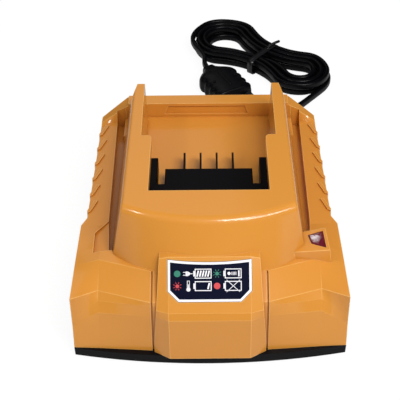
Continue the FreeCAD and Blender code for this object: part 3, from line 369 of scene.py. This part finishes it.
def make_plug_grip():
    bm = bmesh.new()
    along = Vector((math.cos(PLUG_HEADING), math.sin(PLUG_HEADING), 0))
    aside = UP.cross(along)
    rings = []
    for i in range(PLUG_STATIONS + 1):
        s = PLUG_LENGTH * i / PLUG_STATIONS
        half_wide, half_high = plug_half_sizes(s)
        lay = laid_on(aside, UP, along, plug_place(s))
        rings.append(squarish_ring(bm, half_wide, half_high, PLUG_SQUARENESS, PLUG_SIDES, lay))
    skin_over(bm, rings)
    return piece_from("plug_grip", bm)


def make_plug_ridge():
    """Raised bar along the top of the grip, and a round-edged mark each side of it."""
    bm = bmesh.new()
    turn = Matrix.Rotation(PLUG_HEADING, 4, "Z")
    for s, side, long, wide in PLUG_MARKS:
        place = Matrix.Translation(plug_place(s, side, MARK_MIDDLE) * MM)
        stretch = Matrix.Diagonal((long * MM, wide * MM, MARK_TALL * MM, 1.0))
        made = bmesh.ops.create_cube(bm, size=1.0, matrix=place @ turn @ stretch)["verts"]
        edges = list({edge for v in made for edge in v.link_edges})
        bmesh.ops.bevel(bm, geom=edges, offset=MARK_EDGE * MM, segments=3, profile=0.5, affect="EDGES",
                        material=-1)
    return piece_from("plug_ridge", bm)


# Tie round the waist of the hank

def make_tie_band():
    bm = bmesh.new()
    along = hank_heading(0.0)
    across = UP.cross(along)
    for end in (-TIE_WIDE / 2, TIE_WIDE / 2):
        lay = laid_on(across, UP, along, hank_place(end, 0, (TIE_TOP + TIE_FOOT) / 2))
        squarish_ring(bm, TIE_HALF, (TIE_TOP - TIE_FOOT) / 2, TIE_SQUARENESS, TIE_SIDES, lay)
    bmesh.ops.bridge_loops(bm, edges=bm.edges)
    bmesh.ops.recalc_face_normals(bm, faces=bm.faces)
    bmesh.ops.solidify(bm, geom=bm.faces, thickness=TIE_THICK * MM)
    return piece_from("tie_band", bm)


def make_tie_twist():
    """The two ends of the tie, twisted together and bent over."""
    knee = [hank_place(*place) for place in TWIST_KNEES]
    data = bpy.data.curves.new("tie_twist", "CURVE")
    data.dimensions = "3D"
    data.bevel_depth = TWIST_WIRE * MM
    data.bevel_resolution = 2
    data.use_fill_caps = True
    for phase in (0.0, math.pi):
        spline = data.splines.new("POLY")
        spline.points.add(TWIST_STEPS)
        for i, point in enumerate(spline.points):
            t = i / TWIST_STEPS
            centre = knee[0] * (1 - t) ** 2 + knee[1] * 2 * t * (1 - t) + knee[2] * t ** 2
            heading = ((knee[1] - knee[0]) * (1 - t) + (knee[2] - knee[1]) * t).normalized()
            side = heading.cross(UP).normalized()
            angle = 2 * math.pi * TWIST_TURNS * t + phase
            turned = side * math.cos(angle) + heading.cross(side) * math.sin(angle)
            point.co = (*((centre + turned * TWIST_WIRE) * MM), 1.0)
    twist = bpy.data.objects.new("tie_twist", data)
    bpy.context.collection.objects.link(twist)
    return twist


# Print on the label, drawn flat: x across it and s up its slope

def bar(bm, x, s, wide, tall, turn=0.0):
    stretch = Matrix.Diagonal((wide, tall, 1, 1))
    place = Matrix.Translation((x, s, 0)) @ Matrix.Rotation(turn, 4, "Z") @ stretch
    made = bmesh.ops.create_grid(bm, x_segments=1, y_segments=1, size=0.5, matrix=place)
    return list({face for v in made["verts"] for face in v.link_faces})


def dot(bm, x, s, radius):
    made = bmesh.ops.create_circle(bm, cap_ends=True, radius=radius, segments=28,
                                   matrix=Matrix.Translation((x, s, 0)))
    return list({face for v in made["verts"] for face in v.link_faces})


def outline_of(bm, faces, line):
    """Leaves only a line of that width along the inside of the faces' edge."""
    bm.normal_update()
    bmesh.ops.inset_region(bm, faces=faces, thickness=line, use_boundary=True, use_even_offset=True)
    bmesh.ops.delete(bm, geom=faces, context="FACES")


def sun(bm, x, s):
    """A lamp that flashes: a dot with rays."""
    dot(bm, x, s, 0.85)
    for i in range(SUN_RAYS):
        angle = 2 * math.pi * (i + 0.5) / SUN_RAYS
        bar(bm, x + RAYS_OUT * math.cos(angle), s + RAYS_OUT * math.sin(angle), 0.8, 0.24, angle)


def battery(bm, x, s):
    """Outline of a battery that lies with its pole to the left."""
    outline_of(bm, bar(bm, x, s, BATTERY_WIDE, BATTERY_TALL), LINE)
    bar(bm, x - BATTERY_WIDE / 2 - 0.35, s, 0.6, 2.5)


def charge_bars(bm, x, s, count):
    """Leaning bars that fill a battery from its far end."""
    for i in range(count):
        bar(bm, x + BATTERY_WIDE / 2 - 1.35 - i * 1.25, s, 0.72, 2.9, math.radians(-14))


def thermometer(bm, x, s):
    """Glass with a bulb at its foot and a column inside."""
    outline_of(bm, bar(bm, x, s + 0.7, 1.25, 3.6), 0.25)
    bar(bm, x, s - 0.2, 0.4, 2.0)
    dot(bm, x, s - 1.5, 0.95)


def plug_sign(bm, x, s):
    """A plug that lies with its pins to the left."""
    bar(bm, x - 1.0, s + 0.65, 1.2, 0.3)
    bar(bm, x - 1.0, s - 0.65, 1.2, 0.3)
    bar(bm, x + 0.1, s, 1.1, 2.1)
    dot(bm, x + 0.8, s, 0.85)
    bar(bm, x + 2.1, s, 1.3, 0.35)


def hot_battery(bm, x, s):
    """Battery with a thermometer lying in it."""
    battery(bm, x, s)
    dot(bm, x - 1.9, s, 0.75)
    for i in range(4):
        bar(bm, x - 0.6 + i * 0.62, s, 0.3, 1.5)
    bar(bm, x + 2.6, s, 0.65, 2.8)


def border(bm):
    """Band along the edge of the label, with its cut lower corners and bowed top."""
    corner = LABEL_LOW + (LABEL_HALF - LABEL_FOOT)
    along = [1 - i / BORDER_STEPS for i in range(2 * BORDER_STEPS + 1)]
    top = [(LABEL_HALF * t, LABEL_HIGH - LABEL_BOW * (1 - t ** 2)) for t in along]
    foot = [(-LABEL_HALF, corner), (-LABEL_FOOT, LABEL_LOW), (LABEL_FOOT, LABEL_LOW), (LABEL_HALF, corner)]
    face = bm.faces.new([bm.verts.new((x, s, 0)) for x, s in foot + top])
    outline_of(bm, [face], BORDER)


def white_signs(bm):
    border(bm)
    plug_sign(bm, -10.6, ROW_HIGH)
    battery(bm, BATTERY_LEFT, ROW_HIGH)
    charge_bars(bm, BATTERY_LEFT, ROW_HIGH, 5)
    hot_battery(bm, BATTERY_RIGHT, ROW_HIGH)
    thermometer(bm, -9.8, ROW_LOW)
    battery(bm, BATTERY_LEFT, ROW_LOW)
    charge_bars(bm, BATTERY_LEFT, ROW_LOW, 1)
    battery(bm, BATTERY_RIGHT, ROW_LOW)
    for lean in (-42, 42):
        bar(bm, BATTERY_RIGHT, ROW_LOW, 8.2, 0.28, math.radians(lean))


def green_signs(bm):
    dot(bm, LAMP_LEFT, ROW_HIGH, LAMP_DOT)
    sun(bm, LAMP_RIGHT, ROW_HIGH)


def red_signs(bm):
    sun(bm, LAMP_LEFT, ROW_LOW)
    dot(bm, LAMP_RIGHT, ROW_LOW, LAMP_DOT)


def label_print(name, draw):
    """Draws signs flat, gives them the thickness of ink, and lays them on the label."""
    bm = bmesh.new()
    draw(bm)
    bmesh.ops.recalc_face_normals(bm, faces=bm.faces)
    for face in bm.faces:
        if face.normal.z < 0:
            face.normal_flip()
    raised = bmesh.ops.extrude_face_region(bm, geom=bm.faces[:])["geom"]
    ink_top = [part for part in raised if isinstance(part, bmesh.types.BMVert)]
    bmesh.ops.translate(bm, vec=(0, 0, PRINT_THICK), verts=ink_top)
    bmesh.ops.recalc_face_normals(bm, faces=bm.faces)
    across = Vector((1, 0, 0))
    along = (SLOPE_HIGH - SLOPE_LOW).normalized()
    normal = across.cross(along)
    origin = SLOPE_LOW - along * LABEL_ZERO + normal * LABEL_LIFT
    bmesh.ops.transform(bm, matrix=laid_on(across, along, normal, origin), verts=bm.verts)
    return piece_from(name, bm, smooth=False)


# Materials

def surface(name, colour, roughness, metallic=0.0, coat=0.0, grain=0.0, grain_size=0.4, edge=0.0,
            mottle=0.0, transmission=0.0, specular=0.5):
    """A finish with a fine grain, edges rounded to the moulding radius, and a faint mottle of gloss."""
    material = bpy.data.materials.new(name)
    material.use_nodes = True
    nodes, links = material.node_tree.nodes, material.node_tree.links
    shader = nodes["Principled BSDF"]
    shader.inputs["Base Color"].default_value = linear(*colour)
    shader.inputs["Roughness"].default_value = roughness
    shader.inputs["Metallic"].default_value = metallic
    shader.inputs["Coat Weight"].default_value = coat
    shader.inputs["Coat Roughness"].default_value = COAT_ROUGHNESS
    shader.inputs["Transmission Weight"].default_value = transmission
    shader.inputs["Specular IOR Level"].default_value = specular
    place = nodes.new("ShaderNodeTexCoord")
    noise = nodes.new("ShaderNodeTexNoise")
    noise.inputs["Scale"].default_value = 1 / (grain_size * MM)
    noise.inputs["Detail"].default_value = 3.0
    links.new(place.outputs["Object"], noise.inputs["Vector"])
    bump = nodes.new("ShaderNodeBump")
    bump.inputs["Strength"].default_value = grain
    bump.inputs["Distance"].default_value = GRAIN_DEPTH * MM
    links.new(noise.outputs["Fac"], bump.inputs["Height"])
    if edge:
        rounding = nodes.new("ShaderNodeBevel")
        rounding.samples = EDGE_SAMPLES
        rounding.inputs["Radius"].default_value = edge * MM
        links.new(rounding.outputs["Normal"], bump.inputs["Normal"])
    links.new(bump.outputs["Normal"], shader.inputs["Normal"])
    if mottle:
        patches = nodes.new("ShaderNodeTexNoise")
        patches.inputs["Scale"].default_value = MOTTLE_SCALE
        links.new(place.outputs["Object"], patches.inputs["Vector"])
        spread = nodes.new("ShaderNodeMapRange")
        spread.inputs["To Min"].default_value = roughness - mottle
        spread.inputs["To Max"].default_value = roughness + mottle
        links.new(patches.outputs["Fac"], spread.inputs["Value"])
        links.new(spread.outputs["Result"], shader.inputs["Roughness"])
    return material


def remap(nodes, links, value, ends, top):
    """A value between two ends as a number from 0 to top."""
    ramp = nodes.new("ShaderNodeMapRange")
    ramp.inputs["From Min"].default_value = ends[0]
    ramp.inputs["From Max"].default_value = ends[1]
    ramp.inputs["To Max"].default_value = top
    links.new(value, ramp.inputs["Value"])
    return ramp.outputs["Result"]


def blend(nodes, links, share, below, above):
    """Mixes a colour or an output towards a colour."""
    mix = nodes.new("ShaderNodeMix")
    mix.data_type = "RGBA"
    links.new(share, mix.inputs[0])
    if isinstance(below, tuple):
        mix.inputs[6].default_value = below
    else:
        links.new(below, mix.inputs[6])
    mix.inputs[7].default_value = above
    return mix.outputs[2]


def paint_highlights_and_shade(material, painted_highlight, painted_shade):
    """Painted highlights as paler lines along outer edges, and painted shade as deeper colour in inner
    corners.
    """
    nodes, links = material.node_tree.nodes, material.node_tree.links
    colour = nodes["Principled BSDF"].inputs["Base Color"]
    rounding = nodes.new("ShaderNodeBevel")
    rounding.samples = LINE_SAMPLES
    rounding.inputs["Radius"].default_value = HIGHLIGHT_LINE * MM
    flat = nodes.new("ShaderNodeNewGeometry")
    turn = nodes.new("ShaderNodeVectorMath")
    turn.operation = "DOT_PRODUCT"
    links.new(rounding.outputs["Normal"], turn.inputs[0])
    links.new(flat.outputs["Normal"], turn.inputs[1])
    room = nodes.new("ShaderNodeAmbientOcclusion")
    room.only_local = True
    room.samples = LINE_SAMPLES
    room.inputs["Distance"].default_value = SHADE_REACH * MM
    highlight_mask = nodes.new("ShaderNodeMath")
    highlight_mask.operation = "MULTIPLY"
    links.new(remap(nodes, links, turn.outputs["Value"], HIGHLIGHT_TURN, 1.0), highlight_mask.inputs[0])
    links.new(remap(nodes, links, room.outputs["AO"], HIGHLIGHT_ROOM, HIGHLIGHT_SHARE), highlight_mask.inputs[1])
    # Painted highlight: paler colour along outer edges, where the rounded normal turns away from the flat
    # one and the corner is open
    highlighted = blend(nodes, links, highlight_mask.outputs[0], tuple(colour.default_value), painted_highlight)
    # Painted shade: deeper colour in inner corners, the more the less ambient occlusion leaves open
    shade_mask = remap(nodes, links, room.outputs["AO"], SHADE_ROOM, SHADE_SHARE)
    links.new(blend(nodes, links, shade_mask, highlighted, painted_shade), colour)
    return material


def make_finishes():
    return {
        # The cover's finish has painted highlights along its outer edges and painted shade in its inner
        # corners
        "cover": paint_highlights_and_shade(surface("orange_cover", (212, 141, 54), 0.36, grain=0.2, grain_size=0.5,
                                       edge=0.32, mottle=0.04, coat=0.7, specular=0.2),
                               painted_highlight=linear(240, 186, 108), painted_shade=linear(184, 106, 30)),
        "black": surface("black_moulding", (10, 9, 12), 0.46, grain=0.3, grain_size=0.4, edge=0.4,
                         mottle=0.05, specular=0.12),
        "cord": surface("cord_jacket", (5, 5, 8), 0.34, grain=0.2, grain_size=1.2, mottle=0.06,
                        specular=0.16),
        "plug": surface("plug_moulding", (6, 6, 9), 0.36, grain=0.3, grain_size=0.4, mottle=0.04,
                        specular=0.18),
        "label": surface("label_film", (6, 11, 36), 0.42, grain=0.1, grain_size=0.8, edge=0.15,
                         specular=0.06),
        "white_ink": surface("white_ink", (236, 234, 240), 0.45, grain=0.1),
        "green_ink": surface("green_ink", (24, 122, 98), 0.45, grain=0.1),
        "red_ink": surface("red_ink", (206, 58, 64), 0.45, grain=0.1),
        "lens": surface("lamp_lens", (96, 22, 36), 0.04, grain=0.1, grain_size=2.0, edge=0.8),
        "contact": surface("nickel_blade", (52, 48, 50), 0.42, metallic=1.0, grain=0.2, grain_size=0.3,
                           edge=0.1, mottle=0.06),
        "steel": surface("zinc_screw", (176, 178, 182), 0.34, metallic=1.0, grain=0.3, edge=0.15,
                         mottle=0.06),
        "rubber": surface("foot_rubber", (36, 35, 36), 0.72, grain=0.5, grain_size=0.6, edge=0.3),
        "laminate": surface("board_laminate", (44, 96, 58), 0.42, grain=0.2, grain_size=0.7, mottle=0.05),
        "ferrite": surface("ferrite", (48, 47, 50), 0.60, grain=0.5, grain_size=0.5, edge=0.3),
        "tape": surface("winding_tape", (214, 176, 52), 0.36, grain=0.2, edge=0.4, coat=0.2),
        "copper": surface("enamelled_copper", (176, 92, 48), 0.30, metallic=0.9, grain=0.6, grain_size=0.7),
        "sleeve": surface("can_sleeve", (32, 46, 84), 0.32, grain=0.1, edge=0.3, coat=0.2),
        "aluminium": surface("sink_aluminium", (168, 170, 174), 0.42, metallic=1.0, grain=0.4, edge=0.2),
        "component": surface("component_black", (30, 30, 32), 0.50, grain=0.4, edge=0.2),
        "box": surface("capacitor_box", (206, 178, 44), 0.38, grain=0.2, edge=0.4),
        "glass": surface("fuse_glass", (206, 212, 208), 0.08, grain=0.02, transmission=0.8),
        "epoxy": surface("led_epoxy", (196, 46, 52), 0.14, grain=0.05, transmission=0.5),
        "jacket": surface("wire_jacket", (150, 30, 28), 0.40, grain=0.2),
        "tie": surface("tie_plastic", (22, 21, 24), 0.34, grain=0.2, grain_size=0.8, edge=0.1),
    }


FINISH_OF_NODE = {
    "top_cover": "cover", "base_tray": "black", "status_label": "label", "led_lens": "lens",
    "terminal_block": "black", "contact_blade_1": "contact", "contact_blade_2": "contact",
    "contact_blade_3": "contact", "contact_blade_4": "contact", "rubber_feet": "rubber",
    "case_screws": "steel", "circuit_board": "laminate", "board_screws": "steel",
    "transformer_core": "ferrite", "transformer_winding": "tape", "bulk_capacitor": "sleeve",
    "output_capacitors": "sleeve", "choke_core": "ferrite", "choke_winding": "copper",
    "heat_sink": "aluminium", "switching_transistor": "component", "output_diode": "component",
    "control_chip": "component", "optocoupler": "component", "bridge_rectifier": "component",
    "mains_filter_capacitor": "box", "fuse": "glass", "status_led": "epoxy", "mains_wires": "jacket",
    "battery_leads": "jacket", "cord_strain_relief": "black", "cord_inside": "cord",
    "cord_clamp": "black", "clamp_screws": "steel", "cord_hank": "cord", "cord_lead": "cord",
    "cord_tail": "cord", "cord_tie": "tie", "plug_body": "plug", "plug_pins": "contact",
    "plug_pin_sleeves": "component",
}


def dress(piece, material):
    piece.data.materials.clear()
    piece.data.materials.append(material)


# Studio

def lamp(name, place, target, size, power):
    data = bpy.data.lights.new(name, "AREA")
    data.shape = "RECTANGLE"
    data.size, data.size_y = size
    data.energy = power
    light = bpy.data.objects.new(name, data)
    bpy.context.collection.objects.link(light)
    aim = (Vector(target) - Vector(place)).to_track_quat("-Z", "Y")
    light.matrix_world = Matrix.Translation(place) @ aim.to_matrix().to_4x4()


def scaled(nodes, links, ray, share):
    """A share for one kind of ray."""
    product = nodes.new("ShaderNodeMath")
    product.operation = "MULTIPLY"
    product.inputs[1].default_value = share
    links.new(ray, product.inputs[0])
    return product.outputs[0]


def glow_share(nodes, links):
    """How white the floor is: nearly full for the eye, little in mirrors, none in the light it returns."""
    path = nodes.new("ShaderNodeLightPath")
    shares = [scaled(nodes, links, path.outputs[ray], share) for ray, share in GLOW_SHARES]
    most = shares[0]
    for share in shares[1:]:
        larger = nodes.new("ShaderNodeMath")
        larger.operation = "MAXIMUM"
        links.new(most, larger.inputs[0])
        links.new(share, larger.inputs[1])
        most = larger.outputs[0]
    return most


def make_floor():
    bm = bmesh.new()
    bmesh.ops.create_grid(bm, x_segments=1, y_segments=1, size=FLOOR_HALF)
    floor = piece_from("floor", bm, smooth=False)
    material = bpy.data.materials.new("studio_floor")
    material.use_nodes = True
    nodes, links = material.node_tree.nodes, material.node_tree.links
    shader = nodes["Principled BSDF"]
    shader.inputs["Base Color"].default_value = (FLOOR_GREY, FLOOR_GREY, FLOOR_GREY, 1.0)
    shader.inputs["Roughness"].default_value = FLOOR_ROUGHNESS
    shader.inputs["Specular IOR Level"].default_value = 0.0
    glow = nodes.new("ShaderNodeEmission")
    glow.inputs["Strength"].default_value = FLOOR_GLOW
    mix = nodes.new("ShaderNodeMixShader")
    links.new(glow_share(nodes, links), mix.inputs["Fac"])
    links.new(shader.outputs["BSDF"], mix.inputs[1])
    links.new(glow.outputs["Emission"], mix.inputs[2])
    links.new(mix.outputs["Shader"], nodes["Material Output"].inputs["Surface"])
    floor.data.materials.append(material)


def light_sky():
    """White for the eye, dimmer where it lights the charger, and nearly dark in its mirrors."""
    world = bpy.data.worlds.new("studio")
    bpy.context.scene.world = world
    world.use_nodes = True
    nodes, links = world.node_tree.nodes, world.node_tree.links
    background = nodes["Background"]
    background.inputs["Color"].default_value = (1.0, 1.0, 1.0, 1.0)
    strength = nodes.new("ShaderNodeMapRange")
    strength.inputs["To Min"].default_value = SKY_LIGHT
    strength.inputs["To Max"].default_value = SKY_SEEN
    path = nodes.new("ShaderNodeLightPath")
    links.new(path.outputs["Is Camera Ray"], strength.inputs["Value"])
    dimmer = nodes.new("ShaderNodeMath")
    dimmer.operation = "MULTIPLY_ADD"
    dimmer.inputs[1].default_value = SKY_LOST_IN_MIRRORS
    links.new(path.outputs["Is Glossy Ray"], dimmer.inputs[0])
    links.new(strength.outputs["Result"], dimmer.inputs[2])
    links.new(dimmer.outputs[0], background.inputs["Strength"])


bpy.context.scene.view_settings.view_transform = "Standard"
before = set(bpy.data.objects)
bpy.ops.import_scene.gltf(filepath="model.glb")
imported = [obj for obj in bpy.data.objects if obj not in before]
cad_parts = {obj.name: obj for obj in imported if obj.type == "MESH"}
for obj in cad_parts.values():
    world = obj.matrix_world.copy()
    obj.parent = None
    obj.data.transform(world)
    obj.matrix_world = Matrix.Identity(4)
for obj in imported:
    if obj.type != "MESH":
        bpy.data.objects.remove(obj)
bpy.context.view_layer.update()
add_camera()

cord = make_cord()
finishes = make_finishes()
for node_name, finish_name in FINISH_OF_NODE.items():
    dress(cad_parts[node_name], finishes[finish_name])

pieces = {
    "mains_cord": (cord, "cord", "cord_jacket", ["cord_lead", "cord_hank", "cord_tail"]),
    "plug_grip": (make_plug_grip(), "plug", "plug_plastic", ["plug_body"]),
    "plug_ridge": (make_plug_ridge(), "plug", "plug_plastic", []),
    "tie_band": (make_tie_band(), "tie", "tie_plastic", ["cord_tie"]),
    "tie_twist": (make_tie_twist(), "tie", "tie_plastic", []),
    "white_print": (label_print("white_print", white_signs), "white_ink", "label_film", []),
    "green_print": (label_print("green_print", green_signs), "green_ink", "label_film", []),
    "red_print": (label_print("red_print", red_signs), "red_ink", "label_film", []),
}
for piece, finish_name, slot_name, replaced in pieces.values():
    dress(piece, finishes[finish_name])
    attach(piece, "root")
    if replaced:
        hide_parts(*replaced)

make_floor()
light_sky()
for setting in LAMPS:
    lamp(*setting)
